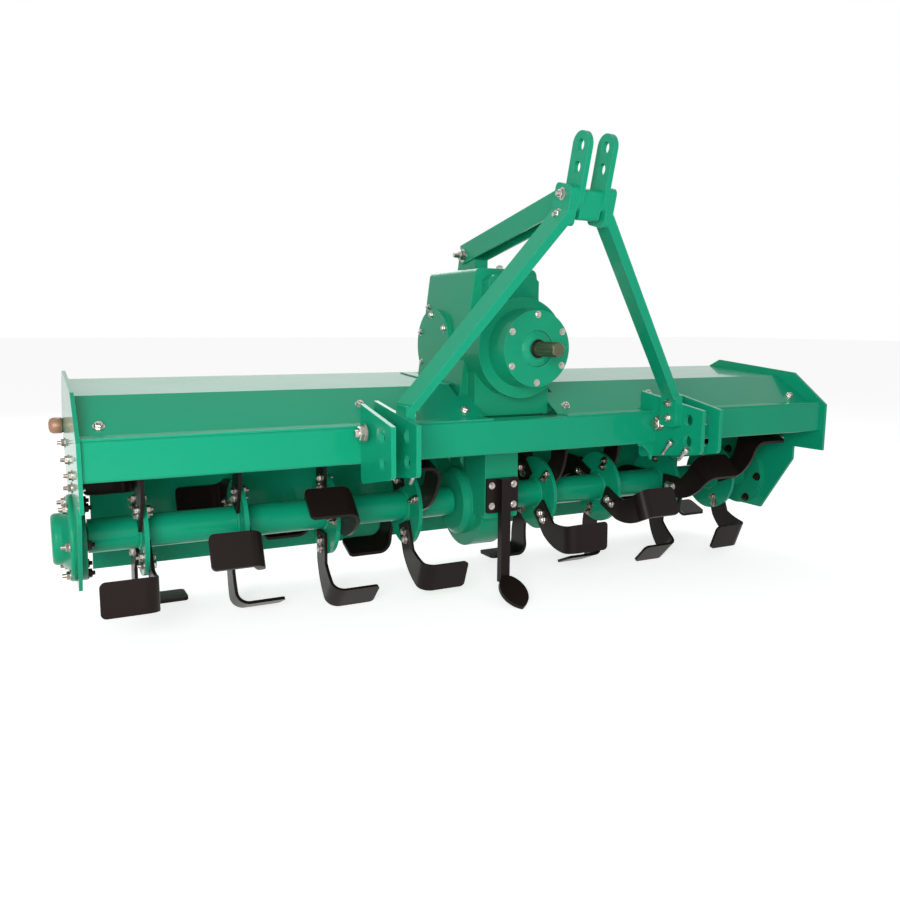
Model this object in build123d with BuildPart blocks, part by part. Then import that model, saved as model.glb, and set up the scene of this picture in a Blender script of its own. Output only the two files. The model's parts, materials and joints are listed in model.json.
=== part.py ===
from build123d import *
import os
from math import asin, atan2, cos, degrees, hypot, radians, sin, tan

# Rotary tiller with a centre drive, for a three-point hitch.
# Millimetres. +X runs across the machine, +Y to the rear and +Z up, so it is pulled towards -Y.
# The origin is on the ground under the middle of the machine's box.

# Rotor
blade_reach = 242.0        # rotor axis to the leading corner of a blade's scoop
blade_thick = 8.0
blade_bend = 26.0          # inner radius of the bend between shank and scoop
blade_tilt = 35.0          # degrees that the bend turns the scoop's trailing edge in from the circle it cuts
scoop_wide = 80.0          # leading edge to trailing edge
scoop_side = 110.0         # middle of the flange to the far end of the scoop
scoop_round = 12.0         # its two outer corners
shank_wide = 62.0
shank_root = 46.0          # rotor axis to the inner end of a shank
shank_straight = 124.0     # rotor axis to where a shank begins to curve
lead_curve = 168.0         # radius of the leading edge, and of the trailing edge
trail_curve = 190.0
shank_lag = 12.0           # degrees between a shank's root and its scoop's leading corner
flange_count = 4           # flanges on each half of the rotor
flange_first = 207.0       # middle of the machine to the first flange
flange_step = 223.0
flange_radius = 104.0
flange_thick = 10.0
phase_step = 22.5          # degrees that each flange's blades are turned from the next one's
tube_radius = 39.0
journal_radius = 24.0      # shaft that carries each end of the rotor
journal_end = 30.0         # length of that shaft inside the outer bearing
running_gap = 0.06         # radial gap of a shaft in its bearing
end_gap = 6.0              # along the axis, between the rotor and what stands beside it
rotor_back = 52.0          # rotor axis, behind and below the line that the drawing planes share
rotor_drop = 13.0

# Ground line: the two middle rows of blades on each half touch it together
axis_z = blade_reach * cos(radians(phase_step / 2))

# Side plates
half_width = 1020.0        # middle of the machine to a side plate's outer face
plate_thick = 8.0
bearing_radius = 98.0      # bearing housing's flange on a side plate
bearing_flange = 14.0      # its thickness
bearing_boss = 58.0
bearing_depth = 46.0       # boss, from the plate outwards

# Main beam, a rectangular tube in two halves
beam_front = 250.0         # in front of the drawing line
beam_deep = 60.0
beam_low = 160.0           # above it
beam_high = 82.0
beam_wall = 6.0
beam_gusset = 44.0         # rounded corner below each end of the centre beam

# Hitch
hitch_inner = 380.0        # middle of the machine to the inner plate's inner face
hitch_gap = 46.0           # room for a lower link's ball
hitch_thick = 10.0
hitch_front = 424.0
hitch_pin_y = 376.0
hitch_pin_z = 180.0
hitch_pin_radius = 14.5
hitch_pin_step = 54.0
hitch_low = 154.0          # the plates' edges, at the front and at the beam
hitch_high = 262.0
hitch_rear_low = 116.0
hitch_rear_high = 294.0
arm_wide = 56.0
arm_turn = 12.0            # degrees that its flat side is turned outwards at the rear
arm_thick = 14.0
arm_foot_y = 322.0
arm_foot_z = 292.0
arm_top_z = 700.0
ear_gap = 52.0
ear_thick = 12.0
ear_wide = 58.0
ear_lean = 15.0            # degrees, forward
ear_top_y = 470.0          # upper hole, in front of the drawing line
ear_top_z = 838.0
ear_pin_radius = 12.75
ear_pin_step = 44.0

# Gearbox and the case below it
gearbox_half = 88.0        # at its top
gearbox_flare = 7.7        # degrees that its sides spread downwards
gearbox_front = 112.0
gearbox_rear = 146.0
gearbox_top = 606.0
gearbox_round = 16.0
base_thick = 14.0
base_margin = 6.0
pedestal_half = 107.0      # below the round housing
pedestal_front = 150.0
collar_half = 72.0         # shoulder over the round housing
collar_front = 152.0
collar_top = 588.0
input_z = 411.0
housing_radius = 123.0
housing_front = 196.0
cover_radius = 96.0        # round covers on the gearbox's sides
cover_y = 66.0
cover_out = 119.0
cap_radius = 96.0
cap_front = 263.0
pto_radius = 17.45
pto_end = 355.0
case_radius = 126.0
case_half = 39.0
case_boss_radius = 92.0
case_boss = 71.0           # middle of the machine to the end of the boss round the rotor
pad_half = 49.0            # strip down the front of the case, for the chisel
pad_front = 104.0
pad_low = -34.0

# Hood and tailboard
sheet = 4.0
hood_ridge_y = 75.0        # front edge of the hood's top, in front of the drawing line
hood_ridge_z = 312.0
hood_back_y = 216.0
hood_back_z = 329.0
hinge_y = 302.0
hinge_z = 214.0
hinge_radius = 9.0
hinge_gap = 0.3
cut_gap = 0.5              # round what stands through the hood
board_low = -168.0
board_fold = -108.0
board_out = 30.0
board_half = 968.0

# Chisel in front of the case
chisel_wide = 27.0
chisel_deep = 20.0
chisel_pad_wide = 94.0
chisel_pad_low = -19.0
chisel_pad_high = 72.0
chisel_low = -204.0        # lower end of the shank
shovel_wide = 74.0
shovel_top_z = -194.0
shovel_tip_y = 220.0
shovel_thick = 10.0

beam_top = beam_low + beam_high
deck_z = beam_top
inner_face = half_width - plate_thick
hitch_outer = hitch_inner + 2 * hitch_thick + hitch_gap

# The drawing line lies behind the middle of the box, which the ears and the tailboard's lower edge end
line_y = (ear_top_y + ear_wide / 2 - hinge_y - board_out - sheet) / 2
line_z = axis_z + rotor_drop
axis_y = line_y + rotor_back

# Drawing planes: three through the drawing line, and one across the rotor axis
side = Plane(origin=(0, line_y, line_z), x_dir=(0, 1, 0), z_dir=(1, 0, 0))
front = Plane(origin=(0, line_y, line_z), x_dir=(1, 0, 0), z_dir=(0, -1, 0))
above = Plane(origin=(0, line_y, line_z), x_dir=(1, 0, 0), z_dir=(0, 0, 1))
spin = Plane(origin=(0, axis_y, axis_z), x_dir=(0, 1, 0), z_dir=(1, 0, 0))

os.makedirs("parts", exist_ok=True)


def save(part, label):
    part.label = label
    export_step(part, f"parts/{label}.step")


def mirrored(part):
    return mirror(part, about=Plane.YZ)


def save_pair(part, label):
    """Write a piece of the machine's right half, and its mirror image for the left."""
    save(part, f"{label}_right")
    save(mirrored(part), f"{label}_left")


# Side plate: cranked nose at the front for the beam, cut away below it, and a tab down to the bearing
tab_low = -112.0
tab_front = -40.0
tab_rear = 2 * rotor_back - tab_front
with BuildPart() as side_plate:
    with BuildSketch(side.offset(inner_face)) as outline:
        with BuildLine():
            Polyline(
                (-262, 103), (-262, 240), (-140, 328), (174, 355), (222, 332), (hinge_y + 18, hinge_z + 22),
                (hinge_y + 18, hinge_z - 30), (tab_rear, tab_low), (tab_front, tab_low), (-155, 62), (-155, 102),
                close=True,
            )
        make_face()
    extrude(amount=plate_thick)
    with BuildSketch(spin.offset(inner_face)):
        Circle(bearing_boss + 0.5)
    extrude(amount=plate_thick, mode=Mode.SUBTRACT)
save_pair(side_plate.part, "side_plate")

# Bearing housing: flange inside the plate, boss and cap outside
with BuildPart() as bearing_housing:
    with BuildSketch(spin.offset(inner_face - bearing_flange)):
        Circle(bearing_radius)
    extrude(amount=bearing_flange)
    with BuildSketch(spin.offset(inner_face)):
        Circle(bearing_boss)
    extrude(amount=plate_thick + bearing_depth)
    fillet(bearing_housing.faces().sort_by(Axis.X)[-1].edges(), 10)
    with BuildSketch(spin.offset(inner_face - bearing_flange)):
        Circle(journal_radius + running_gap)
    extrude(amount=bearing_flange + journal_end, mode=Mode.SUBTRACT)
save_pair(bearing_housing.part, "bearing_housing")

# Beam half: from the side plate in to the inner hitch plate
beam_length = inner_face - hitch_inner - hitch_thick
with BuildPart() as beam:
    with BuildSketch(side.offset(hitch_inner + hitch_thick)):
        with Locations((-beam_front + beam_deep / 2, beam_low + beam_high / 2)):
            RectangleRounded(beam_deep, beam_high, beam_wall)
            RectangleRounded(beam_deep - 2 * beam_wall, beam_high - 2 * beam_wall, 2, mode=Mode.SUBTRACT)
    extrude(amount=beam_length)
save_pair(beam.part, "beam")

# Centre beam: between the inner hitch plates, with the gearbox on it
with BuildPart() as centre_beam:
    with BuildSketch(side.offset(-hitch_inner)):
        with Locations((-beam_front + beam_deep / 2, beam_low + beam_high / 2)):
            RectangleRounded(beam_deep, beam_high, beam_wall)
            RectangleRounded(beam_deep - 2 * beam_wall, beam_high - 2 * beam_wall, 2, mode=Mode.SUBTRACT)
    extrude(amount=2 * hitch_inner)
    with BuildSketch(front.offset(beam_front - 2 * beam_wall)):
        with Locations(
            (-hitch_inner + beam_gusset / 2, beam_low - beam_gusset / 2),
            (hitch_inner - beam_gusset / 2, beam_low - beam_gusset / 2),
        ):
            Rectangle(beam_gusset, beam_gusset)
        with Locations(
            (-hitch_inner + beam_gusset, beam_low - beam_gusset), (hitch_inner - beam_gusset, beam_low - beam_gusset),
        ):
            Circle(beam_gusset - beam_wall, mode=Mode.SUBTRACT)
    extrude(amount=beam_wall)
save(centre_beam.part, "centre_beam")


# Hitch plates: two on each side, with the lower link's pin through both. The inner one closes the beam's end.
for label, inner_x, plate_rear in (
    ("hitch_inner", hitch_inner, -beam_front + beam_deep),
    ("hitch_outer", hitch_outer - hitch_thick, -beam_front),
):
    with BuildPart() as hitch_plate:
        with BuildSketch(side.offset(inner_x)) as outline:
            with BuildLine():
                Polyline(
                    (plate_rear, hitch_rear_low), (-hitch_front, hitch_low), (-hitch_front, hitch_high),
                    (plate_rear, hitch_rear_high), close=True,
                )
            make_face()
            fillet(outline.vertices().sort_by(Axis.Y)[:2], 12)
            with Locations((-hitch_pin_y, hitch_pin_z), (-hitch_pin_y, hitch_pin_z + hitch_pin_step)):
                Circle(hitch_pin_radius, mode=Mode.SUBTRACT)
        extrude(amount=hitch_thick)
    save_pair(hitch_plate.part, label)

# Mast arm: a flat bar that leans in, with an upright tab at its foot and its top
ear_outer = ear_gap / 2 + ear_thick
ear_dir = (-sin(radians(ear_lean)), cos(radians(ear_lean)))


def ear_point(along):
    """A point on the ear's centre line, measured down from its upper hole."""
    return (-ear_top_y - along * ear_dir[0], ear_top_z - along * ear_dir[1])


arm_top_y = -ear_point(ear_top_z - arm_top_z)[0]
arm_start = arm_top_y + arm_wide   # in front of the whole arm
arm_lean_out = tan(radians(arm_turn))
arm_nick = arm_wide / 2 * arm_lean_out + 1


def arm_x(x, y):
    """Where a point of the turned arm lies on the plane that it is pushed out from."""
    return x - (arm_start - y) * arm_lean_out


with BuildPart() as mast_arm:
    with BuildSketch(front.offset(arm_start)):
        with BuildLine():
            Polyline(
                (arm_x(hitch_inner - arm_nick, arm_foot_y), arm_foot_z - 8),
                (arm_x(hitch_inner - arm_nick, arm_foot_y), arm_foot_z + 6),
                (arm_x(ear_outer + arm_thick + arm_nick, arm_top_y), arm_top_z + 12),
                (arm_x(ear_outer + arm_nick, arm_top_y), arm_top_z + 12),
                (arm_x(ear_outer + arm_nick, arm_top_y), arm_top_z - 6),
                (arm_x(hitch_inner - arm_thick - arm_nick, arm_foot_y), arm_foot_z - 8),
                close=True,
            )
        make_face()
    extrude(amount=arm_start, dir=(sin(radians(arm_turn)), cos(radians(arm_turn)), 0))
    with BuildSketch(side):
        with BuildLine():
            Polyline(
                (-arm_foot_y + arm_wide / 2, arm_foot_z - 90), (-arm_foot_y + arm_wide / 2, arm_foot_z),
                (-arm_top_y + arm_wide / 2, arm_top_z), (-arm_top_y + arm_wide / 2, arm_top_z + 60),
                (-arm_top_y - arm_wide / 2, arm_top_z + 60), (-arm_top_y - arm_wide / 2, arm_top_z),
                (-arm_foot_y - arm_wide / 2, arm_foot_z), (-arm_foot_y - arm_wide / 2, arm_foot_z - 90),
                close=True,
            )
        make_face()
    extrude(amount=half_width, mode=Mode.INTERSECT)
    with BuildSketch(side.offset(hitch_inner - arm_thick - arm_nick)) as tab:
        with Locations((-arm_foot_y, arm_foot_z - 38)):
            RectangleRounded(arm_wide, 80, 6)
    extrude(amount=arm_thick + arm_nick)
    with BuildSketch(side.offset(ear_outer)):
        with Locations(Location((-arm_top_y, arm_top_z + 22, 0), (0, 0, ear_lean))):
            RectangleRounded(arm_wide * 1.1, 84, 12)
    extrude(amount=arm_thick + arm_nick)
save_pair(mast_arm.part, "mast_arm")

# Top-link ears: two strips with two holes each, rounded at the top
with BuildPart() as top_link_ear:
    with BuildSketch(side.offset(ear_gap / 2)):
        low = ear_point(ear_top_z - arm_top_z - 30)
        high = ear_point(0)
        middle = ((low[0] + high[0]) / 2, (low[1] + high[1]) / 2)
        length = hypot(high[0] - low[0], high[1] - low[1])
        with Locations(middle):
            SlotCenterToCenter(length, ear_wide, rotation=90 + ear_lean)
        with Locations(ear_point(0), ear_point(ear_pin_step)):
            Circle(ear_pin_radius, mode=Mode.SUBTRACT)
    extrude(amount=ear_thick)
save_pair(top_link_ear.part, "top_link_ear")

# Crosspiece that spaces the ears, and the brace behind it
with BuildPart() as crosspiece:
    with BuildSketch(side.offset(-ear_gap / 2)):
        with Locations(Location((*ear_point(ear_top_z - arm_top_z - 20), 0), (0, 0, ear_lean))):
            RectangleRounded(ear_wide * 0.8, 64, 8)
    extrude(amount=ear_gap)
save(crosspiece.part, "crosspiece")

brace_front = (-392.0, 742.0)
brace_rear = (86.0, 652.0)
brace_deep = 50.0
brace_wall = 6.0
brace_angle = degrees(atan2(brace_rear[1] - brace_front[1], brace_rear[0] - brace_front[0]))
with BuildPart() as rear_brace:
    with BuildSketch(side.offset(-ear_gap / 2)):
        with Locations(((brace_front[0] + brace_rear[0]) / 2, (brace_front[1] + brace_rear[1]) / 2)):
            Rectangle(
                hypot(brace_rear[0] - brace_front[0], brace_rear[1] - brace_front[1]), brace_deep,
                rotation=brace_angle,
            )
    extrude(amount=ear_gap)
    with BuildSketch(side.offset(-ear_gap / 2 + brace_wall)):
        with Locations(((brace_front[0] + brace_rear[0]) / 2, (brace_front[1] + brace_rear[1]) / 2 - brace_wall)):
            Rectangle(
                hypot(brace_rear[0] - brace_front[0], brace_rear[1] - brace_front[1]), brace_deep,
                rotation=brace_angle,
            )
    extrude(amount=ear_gap - 2 * brace_wall, mode=Mode.SUBTRACT)
save(rear_brace.part, "rear_brace")

# Gearbox: a cast box that spreads downwards, a round bearing housing on a pedestal in front of it, a shoulder
# over the housing, and a round cover on each side
gearbox_low = deck_z + base_thick
gearbox_low_half = gearbox_half + (gearbox_top - gearbox_low) * tan(radians(gearbox_flare))
base_half = gearbox_low_half + base_margin
with BuildPart() as gearbox:
    with BuildSketch(front.offset(gearbox_front)):
        with BuildLine():
            Polyline(
                (-gearbox_low_half, gearbox_low), (-gearbox_half, gearbox_top), (gearbox_half, gearbox_top),
                (gearbox_low_half, gearbox_low), close=True,
            )
        make_face()
    extrude(amount=-gearbox_front - gearbox_rear)
    fillet(gearbox.edges().filter_by(Axis.Y).sort_by(Axis.Z)[-2:], gearbox_round)
    with BuildSketch(front.offset(gearbox_front - 20)) as collar:
        with Locations((0, (input_z + collar_top) / 2)):
            Rectangle(2 * collar_half, collar_top - input_z)
        chamfer(collar.vertices().sort_by(Axis.Y)[-2:], 14)
    extrude(amount=collar_front - gearbox_front + 20)
    with BuildSketch(front.offset(gearbox_front - 20)):
        with Locations((0, input_z)):
            Circle(housing_radius)
    extrude(amount=housing_front - gearbox_front + 20)
    with BuildSketch(front.offset(gearbox_front - 20)):
        with Locations((0, (deck_z + input_z) / 2)):
            Rectangle(2 * pedestal_half, input_z - deck_z)
    extrude(amount=pedestal_front - gearbox_front + 20)
    with BuildSketch(side.offset(-cover_out)):
        with Locations((cover_y, input_z)):
            Circle(cover_radius)
    extrude(amount=2 * cover_out)
    with BuildSketch(above.offset(deck_z)):
        with Locations((0, (gearbox_rear - gearbox_front) / 2)):
            Rectangle(2 * base_half, gearbox_rear + gearbox_front + 2 * base_margin)
    extrude(amount=base_thick)
    with BuildSketch(front.offset(housing_front - 20)):
        with Locations((0, input_z)):
            Circle(pto_radius + 12)
    extrude(amount=20, mode=Mode.SUBTRACT)
save(gearbox.part, "gearbox_housing")

# Lug on top of the gearbox that carries the brace
with BuildPart() as brace_lug:
    with BuildSketch(side.offset(-ear_gap / 2 + brace_wall)):
        with BuildLine():
            Polyline((20, gearbox_top), (20, 636), (50, 666), (104, 660), (118, gearbox_top), close=True)
        make_face()
    extrude(amount=ear_gap - 2 * brace_wall)
save(brace_lug.part, "brace_lug")

# Input bearing cap
with BuildPart() as input_cap:
    with BuildSketch(front.offset(housing_front)):
        with Locations((0, input_z)):
            Circle(cap_radius)
    extrude(amount=cap_front - housing_front, taper=4)
    with BuildSketch(front.offset(cap_front)):
        with Locations((0, input_z)):
            Circle(pto_radius + running_gap)
    extrude(amount=-(cap_front - housing_front), mode=Mode.SUBTRACT)
    with BuildSketch(front.offset(cap_front)):
        with Locations((0, input_z)):
            Circle(44)
    extrude(amount=-30, mode=Mode.SUBTRACT)
save(input_cap.part, "input_cap")

# Splined input shaft
with BuildPart() as pto_shaft:
    with BuildSketch(front.offset(housing_front - 18)):
        with Locations((0, input_z)):
            Circle(pto_radius)
    extrude(amount=pto_end - housing_front + 18)
    chamfer(pto_shaft.faces().sort_by(Axis.Y)[0].edges(), 3)
    with BuildSketch(front.offset(pto_end - 76)):
        with Locations((0, input_z)):
            with PolarLocations(pto_radius + 1, 6):
                Rectangle(6.2, 9)
    extrude(amount=76, mode=Mode.SUBTRACT)
save(pto_shaft.part, "pto_shaft")

# Case that takes the drive down to the rotor, with a boss round the rotor and a strip for the chisel
case_top = deck_z - axis_z + line_z
with BuildPart() as case:
    with BuildSketch(spin.offset(-case_half)):
        with BuildLine():
            Polyline((-case_radius, 0), (-case_radius, case_top), (case_radius, case_top), (case_radius, 0))
            RadiusArc((case_radius, 0), (-case_radius, 0), case_radius)
        make_face()
    extrude(amount=2 * case_half)
    with BuildSketch(spin.offset(-case_boss)):
        Circle(case_boss_radius)
    extrude(amount=2 * case_boss)
    chamfer(case.faces().sort_by(Axis.X)[0].edges(), 12)
    chamfer(case.faces().sort_by(Axis.X)[-1].edges(), 12)
    with BuildSketch(front):
        with Locations((0, (deck_z + pad_low) / 2)):
            RectangleRounded(2 * pad_half, deck_z - pad_low, 6)
    extrude(amount=pad_front)
    with BuildSketch(spin.offset(-case_boss)):
        Circle(journal_radius + running_gap)
    extrude(amount=2 * case_boss, mode=Mode.SUBTRACT)
save(case.part, "drive_case")

# Hood half: lip on the beam, sloping front, nearly flat top, sloping back
hood_line = [
    (-beam_front + 4, deck_z), (-beam_front + beam_deep - 8, deck_z), (-hood_ridge_y, hood_ridge_z),
    (hood_back_y, hood_back_z), (hinge_y - 12, hinge_z + 12),
]
with BuildPart() as hood:
    with BuildSketch(side):
        with BuildLine():
            Polyline(*hood_line)
            offset(amount=sheet, side=Side.LEFT)
        make_face()
    extrude(amount=inner_face)
    with BuildSketch(above.offset(deck_z)):
        with Locations((0, (gearbox_rear - gearbox_front) / 2)):
            Rectangle(2 * (base_half + cut_gap), gearbox_rear + gearbox_front + 2 * (base_margin + cut_gap))
        with Locations((0, -beam_front / 2)):
            Rectangle(2 * (pedestal_half + cut_gap), beam_front)
        with Locations((-hitch_inner - hitch_thick / 2, -beam_front), (hitch_inner + hitch_thick / 2, -beam_front)):
            Rectangle(hitch_thick + 1, 2 * beam_deep + 1)
    extrude(amount=140, mode=Mode.SUBTRACT)
save_pair(hood.part, "hood")

# Tailboard, hung behind the hood, with a fold along its lower edge
with BuildPart() as tailboard:
    with BuildSketch(side.offset(-board_half)):
        with BuildLine():
            Polyline(
                (hinge_y, hinge_z - hinge_radius), (hinge_y, hinge_z - 24), (hinge_y + 6, board_fold),
                (hinge_y + board_out, board_low),
            )
            offset(amount=sheet, side=Side.LEFT)
        make_face()
    extrude(amount=2 * board_half)
    with BuildSketch(side.offset(-board_half)):
        with Locations((hinge_y, hinge_z)):
            Circle(hinge_radius + 5)
    extrude(amount=2 * board_half)
    with BuildSketch(side.offset(-board_half)):
        with Locations((hinge_y, hinge_z)):
            Circle(hinge_radius + hinge_gap)
    extrude(amount=2 * board_half, mode=Mode.SUBTRACT)
save(tailboard.part, "tailboard")

with BuildPart() as hinge_rod:
    with BuildSketch(side.offset(-inner_face)):
        with Locations((hinge_y, hinge_z)):
            Circle(hinge_radius)
    extrude(amount=2 * inner_face)
save(hinge_rod.part, "hinge_rod")

# Chisel: pad on the case, shank and leaf-shaped shovel
shank_front = pad_front + 8
with BuildPart() as chisel:
    with BuildSketch(front.offset(pad_front)):
        with Locations((0, (chisel_pad_low + chisel_pad_high) / 2)):
            RectangleRounded(chisel_pad_wide, chisel_pad_high - chisel_pad_low, 4)
    extrude(amount=shank_front - pad_front)
    with BuildSketch(front.offset(shank_front)):
        with Locations((0, (chisel_pad_high + chisel_low) / 2)):
            Rectangle(chisel_wide, chisel_pad_high - chisel_low)
    extrude(amount=chisel_deep)
save(chisel.part, "chisel")

shovel_top = (-shank_front - chisel_deep, shovel_top_z)
shovel_len = hypot(shovel_tip_y + shovel_top[0], line_z + shovel_top_z)
shovel_dir = (0, (-shovel_tip_y - shovel_top[0]) / shovel_len, (-line_z - shovel_top_z) / shovel_len)
shovel_plane = Plane(
    origin=(0, line_y + shovel_top[0], line_z + shovel_top[1]),
    x_dir=shovel_dir,
    z_dir=(0, shovel_dir[2], -shovel_dir[1]),
)
with BuildPart() as shovel:
    with BuildSketch(shovel_plane):
        with BuildLine():
            Line((0, chisel_wide / 2), (0, -chisel_wide / 2))
            ThreePointArc((0, -chisel_wide / 2), (shovel_len * 0.42, -shovel_wide / 2), (shovel_len, 0))
            ThreePointArc((shovel_len, 0), (shovel_len * 0.42, shovel_wide / 2), (0, chisel_wide / 2))
        make_face()
    extrude(amount=shovel_thick)
save(shovel.part, "chisel_point")

# Rotor half: tube with its journals
first_face = case_boss + end_gap
outer_face = inner_face - bearing_flange - end_gap
with BuildPart() as rotor_tube:
    with BuildSketch(spin.offset(first_face)):
        Circle(tube_radius)
    extrude(amount=outer_face - first_face)
    with BuildSketch(spin.offset(outer_face)):
        Circle(journal_radius)
    extrude(amount=end_gap + bearing_flange + journal_end - 2)
    with BuildSketch(spin):
        Circle(journal_radius)
    extrude(amount=first_face)
save_pair(rotor_tube.part, "rotor_tube")

flange_xs = [flange_first + flange_step * i for i in range(flange_count)]
with BuildPart() as flanges:
    for x in flange_xs:
        with BuildSketch(spin.offset(x - flange_thick / 2)):
            Circle(flange_radius)
            Circle(tube_radius, mode=Mode.SUBTRACT)
        extrude(amount=flange_thick)
save_pair(flanges.part, "flanges")

# Blade that throws towards +X, with its scoop's leading corner straight below the origin. Its shank stands on the
# flange's other face. The section is drawn across the bend, whose line is tilted from the path that the blade cuts.
tilt_cos = cos(radians(blade_tilt))
tilt_sin = sin(radians(blade_tilt))
across = Plane(origin=(0, 0, 0), x_dir=(1, 0, 0), z_dir=(0, tilt_cos, -tilt_sin))
scoop_face = blade_reach * tilt_cos
shank_face = -flange_thick / 2 - blade_thick
lead = (0, -blade_reach)
trail = (-scoop_wide * tilt_cos, -blade_reach + scoop_wide * tilt_sin)


def shank_point(along, aside):
    """A point of the straight part of the shank, along its middle and to its leading side."""
    lean = radians(shank_lag)
    return (along * sin(lean) + aside * cos(lean), -along * cos(lean) + aside * sin(lean))


root_lead = shank_point(shank_root, shank_wide / 2)
root_trail = shank_point(shank_root, -shank_wide / 2)
curve_lead = shank_point(shank_straight, shank_wide / 2)
curve_trail = shank_point(shank_straight, -shank_wide / 2)

# The leading edge's arc runs on past its corner, so that the blade's outer face comes from the section alone
chord_turn = asin(hypot(curve_lead[0] - lead[0], curve_lead[1] - lead[1]) / 2 / lead_curve)
past_turn = radians(3)
past_way = atan2(lead[1] - curve_lead[1], lead[0] - curve_lead[0]) - chord_turn - past_turn / 2
past = 2 * lead_curve * sin(past_turn / 2)
lead_past = (lead[0] + past * cos(past_way), lead[1] + past * sin(past_way))
trail_past = (trail[0] - past * tilt_sin, trail[1] - past * tilt_cos)
with BuildPart() as blade:
    with BuildSketch(across) as section:
        with BuildLine():
            Polyline(
                (shank_face, -shank_root), (shank_face, scoop_face), (scoop_side, scoop_face),
                (scoop_side, scoop_face - blade_thick), (shank_face + blade_thick, scoop_face - blade_thick),
                (shank_face + blade_thick, -shank_root), close=True,
            )
        make_face()
        fillet(section.vertices().sort_by_distance((shank_face + blade_thick, scoop_face - blade_thick))[0], blade_bend)
        fillet(section.vertices().sort_by_distance((shank_face, scoop_face))[0], blade_bend + blade_thick)
    extrude(amount=blade_reach, both=True)
    with BuildSketch(Plane.YZ.offset(shank_face)):
        with BuildLine():
            Polyline(curve_lead, root_lead, root_trail, curve_trail)
            RadiusArc(curve_trail, trail, trail_curve)
            Polyline(trail, trail_past, lead_past)
            ThreePointArc(lead_past, lead, curve_lead)
        make_face()
    extrude(amount=scoop_side - shank_face, mode=Mode.INTERSECT)
    ends = [e for e in blade.edges() if e.center().X > scoop_side - 1 and e.length < 2 * blade_thick]
    fillet(ends, scoop_round)

throws_right = blade.part
throws_left = mirrored(throws_right)
axis_line = Axis((0, axis_y, axis_z), (1, 0, 0))
for end, turning, hands in (
    ("right", -phase_step, (throws_left, throws_right)),
    ("left", phase_step, (throws_right, throws_left)),
):
    for i, x in enumerate(flange_xs):
        phase = turning * ((flange_count - 1) / 2 - i)
        place = Location((x if end == "right" else -x, axis_y, axis_z))
        with BuildPart() as blades:
            add([hands[quarter % 2].moved(place).rotate(axis_line, -phase - 90 * quarter) for quarter in range(4)])
        save(blades.part, f"blades_{i + 1}_{end}")
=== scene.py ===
import json
import math

import bmesh
import bpy
from mathutils import Matrix, Vector


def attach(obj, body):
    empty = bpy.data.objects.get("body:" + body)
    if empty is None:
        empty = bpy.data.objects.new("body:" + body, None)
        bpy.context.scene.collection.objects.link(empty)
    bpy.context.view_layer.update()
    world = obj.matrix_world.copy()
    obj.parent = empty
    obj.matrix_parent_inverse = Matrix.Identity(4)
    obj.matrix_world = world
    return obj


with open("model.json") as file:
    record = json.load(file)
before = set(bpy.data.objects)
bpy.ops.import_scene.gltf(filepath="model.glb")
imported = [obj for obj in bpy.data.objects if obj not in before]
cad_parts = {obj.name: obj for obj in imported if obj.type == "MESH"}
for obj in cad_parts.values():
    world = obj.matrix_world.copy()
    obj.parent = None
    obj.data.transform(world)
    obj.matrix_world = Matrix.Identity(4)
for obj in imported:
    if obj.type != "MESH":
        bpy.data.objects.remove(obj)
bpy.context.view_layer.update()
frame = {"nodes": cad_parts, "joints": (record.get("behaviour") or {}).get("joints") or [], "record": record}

# Places on the frame are given in metres from the line that the machine is drawn about: x across, y to
# the rear and z up. The rotor's axis lies behind and below that line.
rotor_back = 0.052
rotor_drop = 0.013
rotor_axis = Vector(next(j["pos_m"] for j in frame["joints"] if j["name"] == "rotor_spin"))
drawing_line = rotor_axis + Vector((0, -rotor_back, rotor_drop))


def at(x, y, z):
    return drawing_line + Vector((x, y, z))


LEFT = Vector((-1, 0, 0))
RIGHT = Vector((1, 0, 0))
FORWARD = Vector((0, -1, 0))
UP = Vector((0, 0, 1))

# Where the photograph was taken from; the focal length and the photograph's side are in its pixels
camera_place = at(-1.1009, -1.9758, 0.4678)
camera_yaw = math.radians(26.9)
camera_pitch = math.radians(8.5)
camera_roll = math.radians(0.4)
photo_side = 900
photo_focal = 842.2
sensor_width = 36.0

# Sizes of the solids that the small pieces stand on
half_width = 1.020          # middle of the machine to a side plate's outer face
plate_thick = 0.008
inner_face = half_width - plate_thick
housing_flange = 0.014      # thickness of a bearing housing's flange, inside the side plate
sheet = 0.004               # the hood's
deck_z = 0.242              # height of the deck, where the hood's front slope starts
slope_foot_y = -0.198
ridge_y = -0.075            # front edge of the hood's top
ridge_z = 0.312
top_slope = 0.0584          # rise of the hood's top for each metre to the rear
input_z = 0.411             # height of the input shaft
cap_front = 0.263
gearbox_top = 0.606
gearbox_half = 0.088        # at its top
gearbox_flare = math.radians(7.7)
cover_y = 0.066             # middle of the round covers on the gearbox's sides
cover_out = 0.119
case_half = 0.039           # half the drive case's width
tube_radius = 0.039         # the rotor's tube
flange_thick = 0.010
flange_first = 0.207        # middle of the machine to the first flange
flange_step = 0.223
flange_places = [flange_first + flange_step * i for i in range(4)]
blade_thick = 0.008
phase_step = math.radians(22.5)
shank_lag = math.radians(12)


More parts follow.
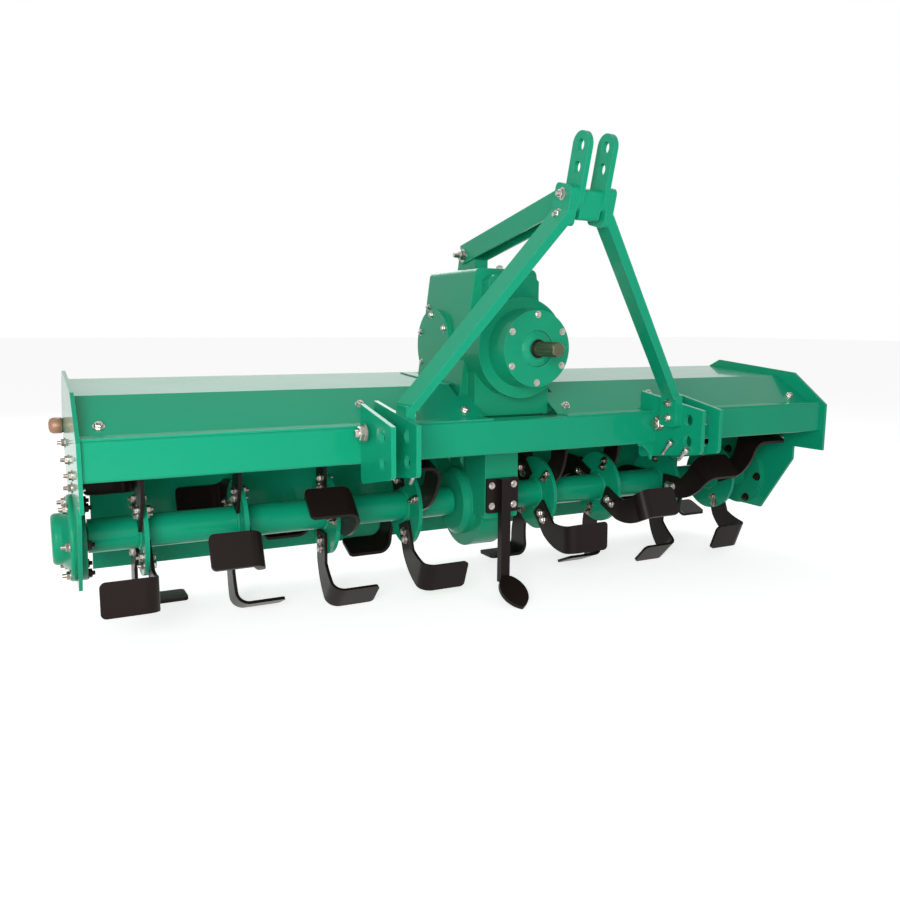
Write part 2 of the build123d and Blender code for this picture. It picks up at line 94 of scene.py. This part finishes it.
def make_camera():
    """Set the camera from its heading, its dip below the horizon and its roll."""
    heading = Vector((math.sin(camera_yaw), math.cos(camera_yaw), 0))
    ahead = heading * math.cos(camera_pitch) - Vector((0, 0, math.sin(camera_pitch)))
    level = Vector((math.cos(camera_yaw), -math.sin(camera_yaw), 0))
    upward = level.cross(ahead)
    right = level * math.cos(camera_roll) + upward * math.sin(camera_roll)
    upward = right.cross(ahead)
    data = bpy.data.cameras.new("camera")
    data.sensor_width = sensor_width
    data.lens = photo_focal / photo_side * sensor_width
    data.clip_end = 100
    camera = bpy.data.objects.new("camera", data)
    camera.matrix_world = Matrix((right, upward, -ahead)).transposed().to_4x4()
    camera.location = camera_place
    bpy.context.scene.collection.objects.link(camera)
    bpy.context.scene.camera = camera


COLOUR = "NodeSocketColor"
NUMBER = "NodeSocketFloat"


def group_with(name, inputs, outputs):
    """A shader node group with named inputs and outputs, and its two end nodes."""
    group = bpy.data.node_groups.new(name, "ShaderNodeTree")
    for label, kind, value in inputs:
        group.interface.new_socket(label, in_out="INPUT", socket_type=kind).default_value = value
    for label, kind in outputs:
        group.interface.new_socket(label, in_out="OUTPUT", socket_type=kind)
    return group, group.nodes.new("NodeGroupInput"), group.nodes.new("NodeGroupOutput")


def wired(tree, kind, settings=None, **links):
    """Add a node. Links give inputs a socket or a value, by name with _ for a space or by place as i0."""
    node = tree.nodes.new(kind)
    for name, value in (settings or {}).items():
        setattr(node, name, value)
    for name, value in links.items():
        key = int(name[1:]) if name[0] == "i" and name[1:].isdigit() else name.replace("_", " ")
        if isinstance(value, bpy.types.NodeSocket):
            tree.links.new(value, node.inputs[key])
        else:
            node.inputs[key].default_value = value
    return node


def number(tree, operation, first, second, clamp=False):
    """The result of one Math node."""
    settings = {"operation": operation, "use_clamp": clamp}
    return wired(tree, "ShaderNodeMath", settings, i0=first, i1=second).outputs[0]


def edge_mask_group():
    """White where an edge stands out, from how far a rounded normal turns from the flat one."""
    cutoff = 0.34
    steepness = 5.0
    strength = 6.0
    group, start, end = group_with(
        "edge_mask",
        [("Radius", NUMBER, 0.003), ("Raggedness", NUMBER, 0.5)],
        [("Mask", NUMBER)],
    )
    coords = wired(group, "ShaderNodeTexCoord")
    noise = wired(group, "ShaderNodeTexNoise", Vector=coords.outputs["Object"], Scale=55.0, Detail=5.0)
    bevel = wired(group, "ShaderNodeBevel", {"samples": 4}, Radius=start.outputs["Radius"])
    flat = wired(group, "ShaderNodeNewGeometry")
    turn = wired(
        group, "ShaderNodeVectorMath", {"operation": "DOT_PRODUCT"},
        i0=bevel.outputs["Normal"], i1=flat.outputs["True Normal"],
    )
    away = number(group, "SUBTRACT", 1.0, turn.outputs["Value"])
    ragged = wired(
        group, "ShaderNodeMath", {"operation": "MULTIPLY_ADD"},
        i0=noise.outputs["Fac"], i1=start.outputs["Raggedness"], i2=away,
    )
    lifted = number(group, "SUBTRACT", ragged.outputs[0], cutoff, clamp=True)
    sharp = number(group, "MULTIPLY", lifted, steepness, clamp=True)
    masked = number(group, "MULTIPLY", sharp, away, clamp=True)
    mask = number(group, "MULTIPLY", masked, strength, clamp=True)
    group.links.new(mask, end.inputs["Mask"])
    return group


def tone_group():
    """Slow changes of tone over a surface, and fine specks: a colour and two numbers around 0.5."""
    group, start, end = group_with(
        "tone_drift",
        [
            ("Light", COLOUR, (1, 1, 1, 1)),
            ("Dark", COLOUR, (0.5, 0.5, 0.5, 1)),
            ("Patch scale", NUMBER, 3.0),
            ("Speck scale", NUMBER, 160.0),
        ],
        [("Colour", COLOUR), ("Drift", NUMBER), ("Specks", NUMBER)],
    )
    place = wired(group, "ShaderNodeTexCoord").outputs["Object"]
    patches = wired(
        group, "ShaderNodeTexNoise",
        Vector=place, Scale=start.outputs["Patch scale"], Detail=4.0, Roughness=0.6,
    )
    specks = wired(group, "ShaderNodeTexNoise", Vector=place, Scale=start.outputs["Speck scale"], Detail=2.0)
    mixed = wired(
        group, "ShaderNodeMixRGB",
        Fac=patches.outputs["Fac"], Color1=start.outputs["Dark"], Color2=start.outputs["Light"],
    )
    group.links.new(mixed.outputs["Color"], end.inputs["Colour"])
    group.links.new(patches.outputs["Fac"], end.inputs["Drift"])
    group.links.new(specks.outputs["Fac"], end.inputs["Specks"])
    return group


edge_mask = edge_mask_group()
tone_drift = tone_group()


def used(tree, group, **values):
    """Place a group in a material with its own values, named with _ for a space."""
    node = wired(tree, "ShaderNodeGroup", {"node_tree": group})
    for name, value in values.items():
        node.inputs[name.replace("_", " ")].default_value = value
    return node


def finish(name, light, dark, edge_wear_and_highlight, rough, coat, grain, edge, metal=0.0, wear_and_highlight_amount=1.0, speck=160.0, sheen=0.12):
    """A painted or plated skin: its tone drifts, its edges wear to a lighter colour, which on the black paint
    is partly a painted highlight, and its grain stands grain metres proud.
    """
    smoothest, roughest = rough - 0.05, rough + 0.07
    material = bpy.data.materials.new(name)
    material.use_nodes = True
    tree = material.node_tree
    tree.nodes.clear()
    shader = wired(tree, "ShaderNodeBsdfPrincipled")
    shader.inputs["Metallic"].default_value = metal
    shader.inputs["Specular IOR Level"].default_value = sheen
    shader.inputs["Coat Weight"].default_value = coat
    shader.inputs["Coat Roughness"].default_value = 0.07
    shader.inputs["Coat IOR"].default_value = 1.2
    tone = used(tree, tone_drift, Light=(*light, 1), Dark=(*dark, 1), Patch_scale=3.0, Speck_scale=speck)
    edges = used(tree, edge_mask, Radius=edge, Raggedness=0.5)
    # The edges take the lighter edge colour: wear, and on the black paint partly a painted highlight.
    share = number(tree, "MULTIPLY", edges.outputs["Mask"], wear_and_highlight_amount)
    colour = wired(tree, "ShaderNodeMixRGB", Fac=share, Color1=tone.outputs["Colour"], Color2=(*edge_wear_and_highlight, 1))
    gloss = wired(
        tree, "ShaderNodeMapRange",
        Value=tone.outputs["Drift"], From_Min=0.3, From_Max=0.7, To_Min=smoothest, To_Max=roughest,
    )
    bump = wired(tree, "ShaderNodeBump", Height=tone.outputs["Specks"], Distance=grain, Strength=0.6)
    tree.links.new(colour.outputs["Color"], shader.inputs["Base Color"])
    tree.links.new(gloss.outputs[0], shader.inputs["Roughness"])
    tree.links.new(bump.outputs["Normal"], shader.inputs["Normal"])
    wired(tree, "ShaderNodeOutputMaterial", Surface=shader.outputs[0])
    return material


finishes = {
    "green_paint": finish(
        "green_paint", light=(0.006, 0.405, 0.226), dark=(0.005, 0.350, 0.184), edge_wear_and_highlight=(0.05, 0.50, 0.31),
        rough=0.36, coat=0.7, grain=0.00004, edge=0.003, sheen=0.08,
    ),
    "cast_green": finish(
        "cast_green", light=(0.008, 0.400, 0.222), dark=(0.010, 0.315, 0.158), edge_wear_and_highlight=(0.05, 0.47, 0.28),
        rough=0.38, coat=0.6, grain=0.0004, edge=0.004, speck=420.0, sheen=0.08,
    ),
    # The lighter colour on the black paint's edges is partly wear and partly a painted highlight, like the
    # light lines along the blades' bends.
    "black_paint": finish(
        "black_paint", light=(0.018, 0.010, 0.009), dark=(0.008, 0.005, 0.004), edge_wear_and_highlight=(0.09, 0.068, 0.060),
        rough=0.38, coat=0.2, grain=0.0002, edge=0.002, wear_and_highlight_amount=0.3,
    ),
    "bare_steel": finish(
        "bare_steel", light=(0.36, 0.31, 0.27), dark=(0.20, 0.15, 0.12), edge_wear_and_highlight=(0.66, 0.62, 0.58),
        rough=0.33, coat=0.0, grain=0.0001, edge=0.002, metal=1.0, sheen=0.5,
    ),
    "zinc_steel": finish(
        "zinc_steel", light=(0.62, 0.58, 0.55), dark=(0.42, 0.37, 0.33), edge_wear_and_highlight=(0.85, 0.82, 0.80),
        rough=0.30, coat=0.0, grain=0.0001, edge=0.0008, metal=1.0, sheen=0.5,
    ),
}
brown_cap = finish(
    "brown_cap", light=(0.52, 0.30, 0.20), dark=(0.38, 0.20, 0.13), edge_wear_and_highlight=(0.62, 0.42, 0.30),
    rough=0.45, coat=0.3, grain=0.0003, edge=0.001, metal=0.4,
)
greased_steel = finish(
    "greased_steel", light=(0.16, 0.17, 0.10), dark=(0.08, 0.08, 0.05), edge_wear_and_highlight=(0.40, 0.39, 0.34),
    rough=0.40, coat=0.3, grain=0.0003, edge=0.001, metal=0.7,
)


def finish_nodes():
    """Give every CAD piece the finish of its material slot, and the input shaft its film of grease."""
    for entry in frame["record"]["subparts"]:
        node = frame["nodes"][entry["node"]]
        greased = entry["node"] == "pto_shaft"
        node.data.materials.clear()
        node.data.materials.append(greased_steel if greased else finishes[entry["material_slot"]])


def bolt_tree():
    """Hex heads on washers, stood on a cloud of points along the way that each point faces."""
    tree = bpy.data.node_groups.new("hex_bolts", "GeometryNodeTree")
    tree.interface.new_socket("Geometry", in_out="INPUT", socket_type="NodeSocketGeometry")
    for label in ("Flats", "Head", "Washer", "Washer thick", "Stub"):
        tree.interface.new_socket(label, in_out="INPUT", socket_type=NUMBER)
    tree.interface.new_socket("Finish", in_out="INPUT", socket_type="NodeSocketMaterial")
    tree.interface.new_socket("Geometry", in_out="OUTPUT", socket_type="NodeSocketGeometry")
    start = tree.nodes.new("NodeGroupInput")
    end = tree.nodes.new("NodeGroupOutput")

    def times(size, share):
        return number(tree, "MULTIPLY", size, share)

    def stacked(sides, low, high, depth, bottom):
        cone = wired(
            tree, "GeometryNodeMeshCone", {"fill_type": "NGON"},
            Vertices=sides, Radius_Bottom=low, Radius_Top=high, Depth=depth,
        )
        lift = wired(tree, "ShaderNodeCombineXYZ", Z=bottom)
        moved = wired(
            tree, "GeometryNodeTransform", Geometry=cone.outputs["Mesh"], Translation=lift.outputs[0]
        )
        return moved.outputs[0]

    hexagon = 0.5774            # a hexagon's corner radius for each unit across its flats
    shoulder_share = 0.82       # of the head's height, below its chamfer
    flats, head, stub = (start.outputs[label] for label in ("Flats", "Head", "Stub"))
    washer, on_washer = start.outputs["Washer"], start.outputs["Washer thick"]
    corner = times(flats, hexagon)
    crown = times(corner, 0.90)
    shoulder = times(head, shoulder_share)
    chamfer = times(head, 1 - shoulder_share)
    shoulder_top = number(tree, "ADD", on_washer, shoulder)
    head_top = number(tree, "ADD", on_washer, head)
    core = times(flats, 0.30)
    core_top = times(core, 0.85)
    join = tree.nodes.new("GeometryNodeJoinGeometry")
    for part in (
        stacked(20, washer, washer, on_washer, 0.0),
        stacked(6, corner, corner, shoulder, on_washer),
        stacked(6, corner, crown, chamfer, shoulder_top),
        stacked(12, core, core_top, stub, head_top),
    ):
        tree.links.new(part, join.inputs[0])
    facing = wired(tree, "GeometryNodeInputNamedAttribute", {"data_type": "FLOAT_VECTOR"}, Name="facing")
    align = wired(
        tree, "FunctionNodeAlignRotationToVector", {"axis": "Z"}, Vector=facing.outputs["Attribute"]
    )
    stand = wired(
        tree, "GeometryNodeInstanceOnPoints",
        Points=start.outputs["Geometry"], Instance=join.outputs[0], Rotation=align.outputs["Rotation"],
    )
    spin = wired(tree, "FunctionNodeRandomValue", {"data_type": "FLOAT"}, Seed=7)
    spin.inputs[2].default_value = 0.0
    spin.inputs[3].default_value = math.pi / 3
    about = wired(tree, "ShaderNodeCombineXYZ", Z=spin.outputs[1])
    twist = wired(
        tree, "GeometryNodeRotateInstances", Instances=stand.outputs[0], Rotation=about.outputs[0]
    )
    real = wired(tree, "GeometryNodeRealizeInstances", Geometry=twist.outputs[0])
    coat = wired(
        tree, "GeometryNodeSetMaterial", Geometry=real.outputs[0], Material=start.outputs["Finish"]
    )
    tree.links.new(coat.outputs[0], end.inputs[0])
    return tree


hex_bolts = bolt_tree()


def bolts(name, body, places, flats, stub, slot="zinc_steel"):
    """One mesh of bolts or nuts on a body. places is a list of (point, the way that the head faces)."""
    cloud = bpy.data.meshes.new(name + "_points")
    cloud.from_pydata([point for point, _ in places], [], [])
    facing = cloud.attributes.new("facing", "FLOAT_VECTOR", "POINT")
    for i, (_, way) in enumerate(places):
        facing.data[i].vector = way
    maker = bpy.data.objects.new(name + "_points", cloud)
    bpy.context.scene.collection.objects.link(maker)
    modifier = maker.modifiers.new("bolts", "NODES")
    modifier.node_group = hex_bolts
    values = {
        "Flats": flats, "Head": flats * 0.42, "Washer": flats * 0.74, "Washer thick": flats * 0.12,
        "Stub": stub, "Finish": finishes[slot],
    }
    for item in hex_bolts.interface.items_tree:
        if item.in_out == "INPUT" and item.name in values:
            modifier[item.identifier] = values[item.name]
    bpy.context.view_layer.update()
    depsgraph = bpy.context.evaluated_depsgraph_get()
    mesh = bpy.data.meshes.new_from_object(maker.evaluated_get(depsgraph))
    bpy.data.objects.remove(maker)
    place_piece(mesh, name, body)


def place_piece(mesh, name, body):
    piece = bpy.data.objects.new(name, mesh)
    bpy.context.scene.collection.objects.link(piece)
    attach(piece, body)


def piece_of(bm, name, body, slot, material=None):
    """Finish a mesh as one piece that rides on a body, smooth over its quads."""
    bmesh.ops.recalc_face_normals(bm, faces=bm.faces)
    for face in bm.faces:
        face.smooth = len(face.verts) == 4
    mesh = bpy.data.meshes.new(name)
    bm.to_mesh(mesh)
    bm.free()
    mesh.materials.append(material or finishes[slot])
    place_piece(mesh, name, body)


def turned(bm, foot, way, profile, steps):
    """Turn a profile of (distance along way, radius) about the line that leaves foot in the direction way."""
    way = Vector(way).normalized()
    aside = way.orthogonal().normalized()
    beside = way.cross(aside)
    angles = [2 * math.pi * i / steps for i in range(steps)]
    rings = []
    for along, radius in profile:
        middle = Vector(foot) + way * along
        rings.append(
            [bm.verts.new(middle + (aside * math.cos(a) + beside * math.sin(a)) * radius) for a in angles]
        )
    for low, high in zip(rings, rings[1:]):
        for i in range(steps):
            j = (i + 1) % steps
            bm.faces.new((low[i], low[j], high[j], high[i]))
    if profile[0] != profile[-1]:
        bm.faces.new(list(reversed(rings[0])))
        bm.faces.new(rings[-1])


def slab(bm, low_points, high_points):
    """A solid between two outlines with as many corners."""
    low = [bm.verts.new(point) for point in low_points]
    high = [bm.verts.new(point) for point in high_points]
    bm.faces.new(list(reversed(low)))
    bm.faces.new(high)
    for i in range(len(low)):
        j = (i + 1) % len(low)
        bm.faces.new((low[i], low[j], high[j], high[i]))


def both_sides(x, y, z, outward):
    """The same place on the right and the left, facing away from the middle or towards it."""
    way = RIGHT if outward else LEFT
    return [(at(x, y, z), way), (at(-x, y, z), -way)]


def circle_of_six(middle, height, radius, first):
    """Six places round an upright circle, the first of them at first degrees."""
    angles = [math.radians(first + 60 * i) for i in range(6)]
    return [(middle + radius * math.cos(a), height + radius * math.sin(a)) for a in angles]


def hood_point(x, y):
    """A point on the hood's front slope, and the way that the slope faces."""
    low, high = Vector((0, slope_foot_y, deck_z)), Vector((0, ridge_y, ridge_z))
    rise = (high - low).normalized()
    facing = Vector((0, -rise.z, rise.y))
    along = (y - low.y) / rise.y
    return at(x, 0, 0) + low + rise * along + facing * sheet, facing


def hood_and_cap_bolts():
    """Bolts on the input cap, along the hood's front slope and on the chisel's pad."""
    cap_circle = circle_of_six(0, input_z, radius=0.081, first=30)
    cap = [(at(x, -cap_front, z), FORWARD) for x, z in cap_circle]
    bolts("input_cap_bolts", "frame", cap, flats=0.011, stub=0.0015)
    hood = [hood_point(x, -0.172) for x in (-0.972, -0.147, 0.147, 0.959)]
    bolts("hood_bolts", "frame", hood, flats=0.016, stub=0.003)
    corners = [hood_point(x, -0.137) for x in (-0.405, 0.445)]
    bolts("hood_corner_bolts", "frame", corners, flats=0.016, stub=0.003)
    pad_face = -0.112
    pad = [(at(x, pad_face, z), FORWARD) for x in (-0.033, 0.033) for z in (0.000, 0.054)]
    bolts("chisel_bolts", "frame", pad, flats=0.012, stub=0.0015)


def hitch_bolts():
    """Bolts of the hitch plates, the mast's ears, the arms' feet and the brace."""
    outer_bolt_x = 0.456        # 10 mm out from the outer plate's face
    inner_plate_face = 0.380
    plates = both_sides(outer_bolt_x, -0.302, 0.236, True)
    plates += both_sides(inner_plate_face, -0.268, 0.215, False)
    bolts("hitch_bolts", "frame", plates, flats=0.028, stub=0.008)
    mast_x = 0.059
    mast = both_sides(mast_x, -0.440, 0.742, True) + both_sides(mast_x, -0.428, 0.700, True)
    bolts("mast_bolts", "frame", mast, flats=0.018, stub=0.006)
    arm_face = 0.3591
    feet = both_sides(arm_face, -0.322, 0.272, False) + both_sides(arm_face, -0.322, 0.236, False)
    bolts("arm_foot_bolts", "frame", feet, flats=0.015, stub=0.004)
    brace_face = 0.026
    bolts("brace_bolts", "frame", both_sides(brace_face, 0.072, 0.650, True), flats=0.024, stub=0.016)


def gearbox_bolts():
    """A bolt on each flared side of the gearbox, six round each side cover, and the filler plug on top."""
    side_way = Vector((math.cos(gearbox_flare), 0, math.sin(gearbox_flare)))
    y, z = 0.128, 0.512
    x = gearbox_half + (gearbox_top - z) * math.tan(gearbox_flare)
    sides = [(at(x, y, z), side_way), (at(-x, y, z), Vector((-side_way.x, 0, side_way.z)))]
    bolts("gearbox_side_bolts", "frame", sides, flats=0.012, stub=0.003)
    covers = []
    for y, z in circle_of_six(cover_y, input_z, radius=0.081, first=25):
        covers += both_sides(cover_out, y, z, True)
    bolts("side_cover_bolts", "frame", covers, flats=0.012, stub=0.002)
    bolts("filler_plug", "frame", [(at(0, -0.078, gearbox_top), UP)], flats=0.016, stub=0.003)


def end_bolts():
    """Bolts round each bearing, their nuts inside the side plates, and the bolts of the plates themselves."""
    ring_thick = 0.012
    round_bearing, nuts, plate = [], [], []
    for y, z in circle_of_six(rotor_back, -rotor_drop, radius=0.086, first=0):
        round_bearing += both_sides(half_width + ring_thick, y, z, True)
        nuts += both_sides(inner_face - housing_flange, y, z, False)
    for y, z in ((0.230, 0.180), (0.080, 0.160), (-0.050, 0.145), (0.000, 0.110)):
        plate += both_sides(half_width, y, z, True)
    bolts("bearing_bolts", "frame", round_bearing, flats=0.017, stub=0.009, slot="bare_steel")
    bolts("bearing_nuts", "frame", nuts, flats=0.018, stub=0.006, slot="black_paint")
    bolts("side_plate_bolts", "frame", plate, flats=0.016, stub=0.009, slot="bare_steel")
    low_nuts = both_sides(inner_face, -0.108, 0.124, False)
    bolts("side_plate_nuts", "frame", low_nuts, flats=0.016, stub=0.004)


def bearing_rings():
    """The cast ring outside each side plate, which the bearing's boss stands out of."""
    bore = 0.0585               # just clear of the boss
    section = [
        (0, bore), (0, 0.098), (0.009, 0.098), (0.012, 0.095), (0.012, 0.074), (0.026, 0.060), (0.026, bore),
        (0, bore),
    ]
    bm = bmesh.new()
    for place, way in both_sides(half_width, rotor_back, -rotor_drop, True):
        turned(bm, place, way, section, steps=64)
    piece_of(bm, "bearing_rings", "frame", "cast_green")


def rod_ends():
    """Brown caps on the ends of the tailboard's rod."""
    section = [(0, 0.017), (0.004, 0.020), (0.022, 0.020), (0.029, 0.016), (0.032, 0.008)]
    bm = bmesh.new()
    for place, way in both_sides(half_width, 0.302, 0.214, True):
        turned(bm, place, way, section, steps=32)
    piece_of(bm, "rod_end_caps", "frame", "zinc_steel", material=brown_cap)


def shaft_collar():
    """Painted collar that fills the cap's recess round the input shaft, with its black seal lip."""
    recess = 0.030
    rim, bore = 0.0435, 0.0225
    lip_rim, lip_bore = 0.0222, 0.0185
    foot = at(0, recess - cap_front, input_z)
    bm = bmesh.new()
    collar = [
        (0.0005, bore), (0.0005, rim), (recess - 0.002, rim), (recess, rim - 0.002), (recess + 0.001, 0.036),
        (recess + 0.007, 0.030), (recess + 0.007, bore), (0.0005, bore),
    ]
    turned(bm, foot, FORWARD, collar, steps=64)
    piece_of(bm, "shaft_collar", "frame", "cast_green")
    bm = bmesh.new()
    lip = [
        (0.001, lip_bore), (0.001, lip_rim), (recess + 0.006, lip_rim), (recess + 0.008, 0.0190),
        (recess + 0.008, lip_bore), (0.001, lip_bore),
    ]
    turned(bm, foot, FORWARD, lip, steps=48)
    piece_of(bm, "shaft_seal", "frame", "black_paint")


def case_ribs():
    """Upright stiffening ribs on the drive case's sides, between the boss and the deck."""
    rib_thick = 0.009
    rib_foot, rib_top = 0.078, deck_z - 0.004
    outline = (
        (case_half - 0.001, rib_foot), (case_half - 0.001, rib_top), (case_half + 0.020, rib_top),
        (case_half + 0.014, rib_foot + 0.020),
    )
    bm = bmesh.new()
    for side in (-1, 1):
        for y in (0.031, 0.110):
            front = [at(side * x, y - rib_thick / 2, z) for x, z in outline]
            back = [at(side * x, y + rib_thick / 2, z) for x, z in outline]
            slab(bm, front, back)
    bmesh.ops.recalc_face_normals(bm, faces=bm.faces)
    bmesh.ops.bevel(bm, geom=bm.edges[:], offset=0.002, segments=2, affect="EDGES")
    piece_of(bm, "case_ribs", "frame", "cast_green")


def deck_strips():
    """Strips that lie on the hood's top and close the gap round the gearbox's foot."""
    strip_thick = 0.003
    lift = 0.0042               # just clear of the sheet
    gearbox_side, strip_side = 0.122, 0.160
    gearbox_back, strip_back = 0.140, 0.190
    bm = bmesh.new()
    for x_low, x_high, y_low in (
        (-strip_side, -gearbox_side, ridge_y), (gearbox_side, strip_side, ridge_y),
        (-gearbox_side, gearbox_side, gearbox_back),
    ):
        corners = ((x_low, y_low), (x_high, y_low), (x_high, strip_back), (x_low, strip_back))
        under, over = (
            [at(x, y, ridge_z + top_slope * (y - ridge_y) + lift + rise) for x, y in corners]
            for rise in (0, strip_thick)
        )
        slab(bm, under, over)
    bmesh.ops.bevel(bm, geom=bm.edges[:], offset=0.001, segments=2, affect="EDGES")
    piece_of(bm, "deck_strips", "frame", "green_paint")


def linch_pins():
    """Two slanted pins with thicker heads on each inner hitch plate."""
    pin = 0.0045
    head = pin * 1.8
    bm = bmesh.new()
    for x in (-0.373, 0.373):
        for foot, tip in (((-0.292, 0.136), (-0.326, 0.176)), ((-0.352, 0.128), (-0.384, 0.164))):
            low, high = at(x, *foot), at(x, *tip)
            long = (high - low).length
            section = [
                (0, pin * 0.5), (0.003, pin), (long * 0.7, pin), (long * 0.7, head), (long - 0.002, head),
                (long, pin * 1.4),
            ]
            turned(bm, low, high - low, section, steps=16)
    piece_of(bm, "linch_pins", "frame", "zinc_steel")


def blade_bolts():
    """Two bolts through each blade's shank, with their nuts on the flange's other face."""
    bolt_radii = (0.070, 0.092)
    heads, nuts = [], []
    for side in (-1, 1):
        for i, flange_x in enumerate(flange_places):
            for quarter in range(4):
                turn = side * phase_step * (1.5 - i) - math.pi / 2 * quarter + shank_lag
                throws_right = (quarter % 2 == 1) == (side == 1)
                way = LEFT if throws_right else RIGHT
                for radius in bolt_radii:
                    out = Vector((side * flange_x, radius * math.sin(turn), -radius * math.cos(turn)))
                    heads.append((rotor_axis + out + way * (flange_thick / 2 + blade_thick), way))
                    nuts.append((rotor_axis + out - way * flange_thick / 2, -way))
    bolts("blade_bolts", "rotor", heads, flats=0.016, stub=0.001)
    bolts("blade_nuts", "rotor", nuts, flats=0.016, stub=0.006, slot="bare_steel")


def rotor_welds():
    """A bead of weld on both faces of each flange, round the tube."""
    bead = 0.005
    root = tube_radius - 0.001
    section = [
        (0, root), (0, tube_radius + bead), (bead * 0.5, tube_radius + bead * 0.7), (bead, root), (0, root),
    ]
    bm = bmesh.new()
    for side in (-1, 1):
        for flange_x in flange_places:
            for face in (-1, 1):
                foot = rotor_axis + Vector((side * flange_x + face * flange_thick / 2, 0, 0))
                turned(bm, foot, RIGHT * face, section, steps=40)
    piece_of(bm, "rotor_welds", "rotor", "green_paint")


def seen_rays(tree):
    """One for rays from the camera or a reflection, and zero for the rest."""
    path = wired(tree, "ShaderNodeLightPath")
    return number(tree, "MAXIMUM", path.outputs["Is Camera Ray"], path.outputs["Is Glossy Ray"])


def make_floor():
    """A pale floor that the camera sees as nearly white, and that keeps the machine's shadow."""
    half = 40.0
    grey = 0.80
    glow_strength = 0.72
    mesh = bpy.data.meshes.new("floor")
    corners = [(-half, -half, 0), (half, -half, 0), (half, half, 0), (-half, half, 0)]
    mesh.from_pydata(corners, [], [(0, 1, 2, 3)])
    floor = bpy.data.objects.new("floor", mesh)
    bpy.context.scene.collection.objects.link(floor)
    material = bpy.data.materials.new("pale_floor")
    material.use_nodes = True
    tree = material.node_tree
    tree.nodes.clear()
    matt = wired(tree, "ShaderNodeBsdfDiffuse", Color=(grey, grey, grey, 1))
    lift = number(tree, "MULTIPLY", seen_rays(tree), glow_strength)
    glow = wired(tree, "ShaderNodeEmission", Color=(1, 1, 1, 1), Strength=lift)
    both = wired(tree, "ShaderNodeAddShader", i0=matt.outputs[0], i1=glow.outputs[0])
    wired(tree, "ShaderNodeOutputMaterial", Surface=both.outputs[0])
    mesh.materials.append(material)


def make_world():
    """White where it is seen, directly or in a reflection, and a softer grey as light."""
    room_light = 0.28
    world = bpy.data.worlds.new("studio")
    world.use_nodes = True
    tree = world.node_tree
    tree.nodes.clear()
    strength = wired(tree, "ShaderNodeMapRange", Value=seen_rays(tree), To_Min=room_light, To_Max=1.0)
    sky = wired(tree, "ShaderNodeBackground", Color=(1, 1, 1, 1), Strength=strength.outputs[0])
    wired(tree, "ShaderNodeOutputWorld", Surface=sky.outputs[0])
    bpy.context.scene.world = world


def lamp(name, place, target, side, watts):
    """A square soft lamp that looks at a target."""
    data = bpy.data.lights.new(name, "AREA")
    data.size = side
    data.energy = watts
    item = bpy.data.objects.new(name, data)
    item.location = place
    item.rotation_euler = (Vector(target) - Vector(place)).to_track_quat("-Z", "Y").to_euler()
    bpy.context.scene.collection.objects.link(item)


make_camera()
make_world()
make_floor()
lamp("key_lamp", place=(-1.8, -2.6, 1.05), target=(-0.3, 0, 0.4), side=1.5, watts=66)
lamp("fill_lamp", place=(2.5, -3.5, 1.6), target=(0.3, 0, 0.4), side=2.5, watts=3)
lamp("rear_lamp", place=(0.5, 3.5, 3.0), target=(0, 0, 0.5), side=2.5, watts=50)
finish_nodes()
hood_and_cap_bolts()
hitch_bolts()
gearbox_bolts()
end_bolts()
bearing_rings()
rod_ends()
shaft_collar()
case_ribs()
deck_strips()
linch_pins()
blade_bolts()
rotor_welds()

bpy.context.scene.view_settings.view_transform = "Standard"
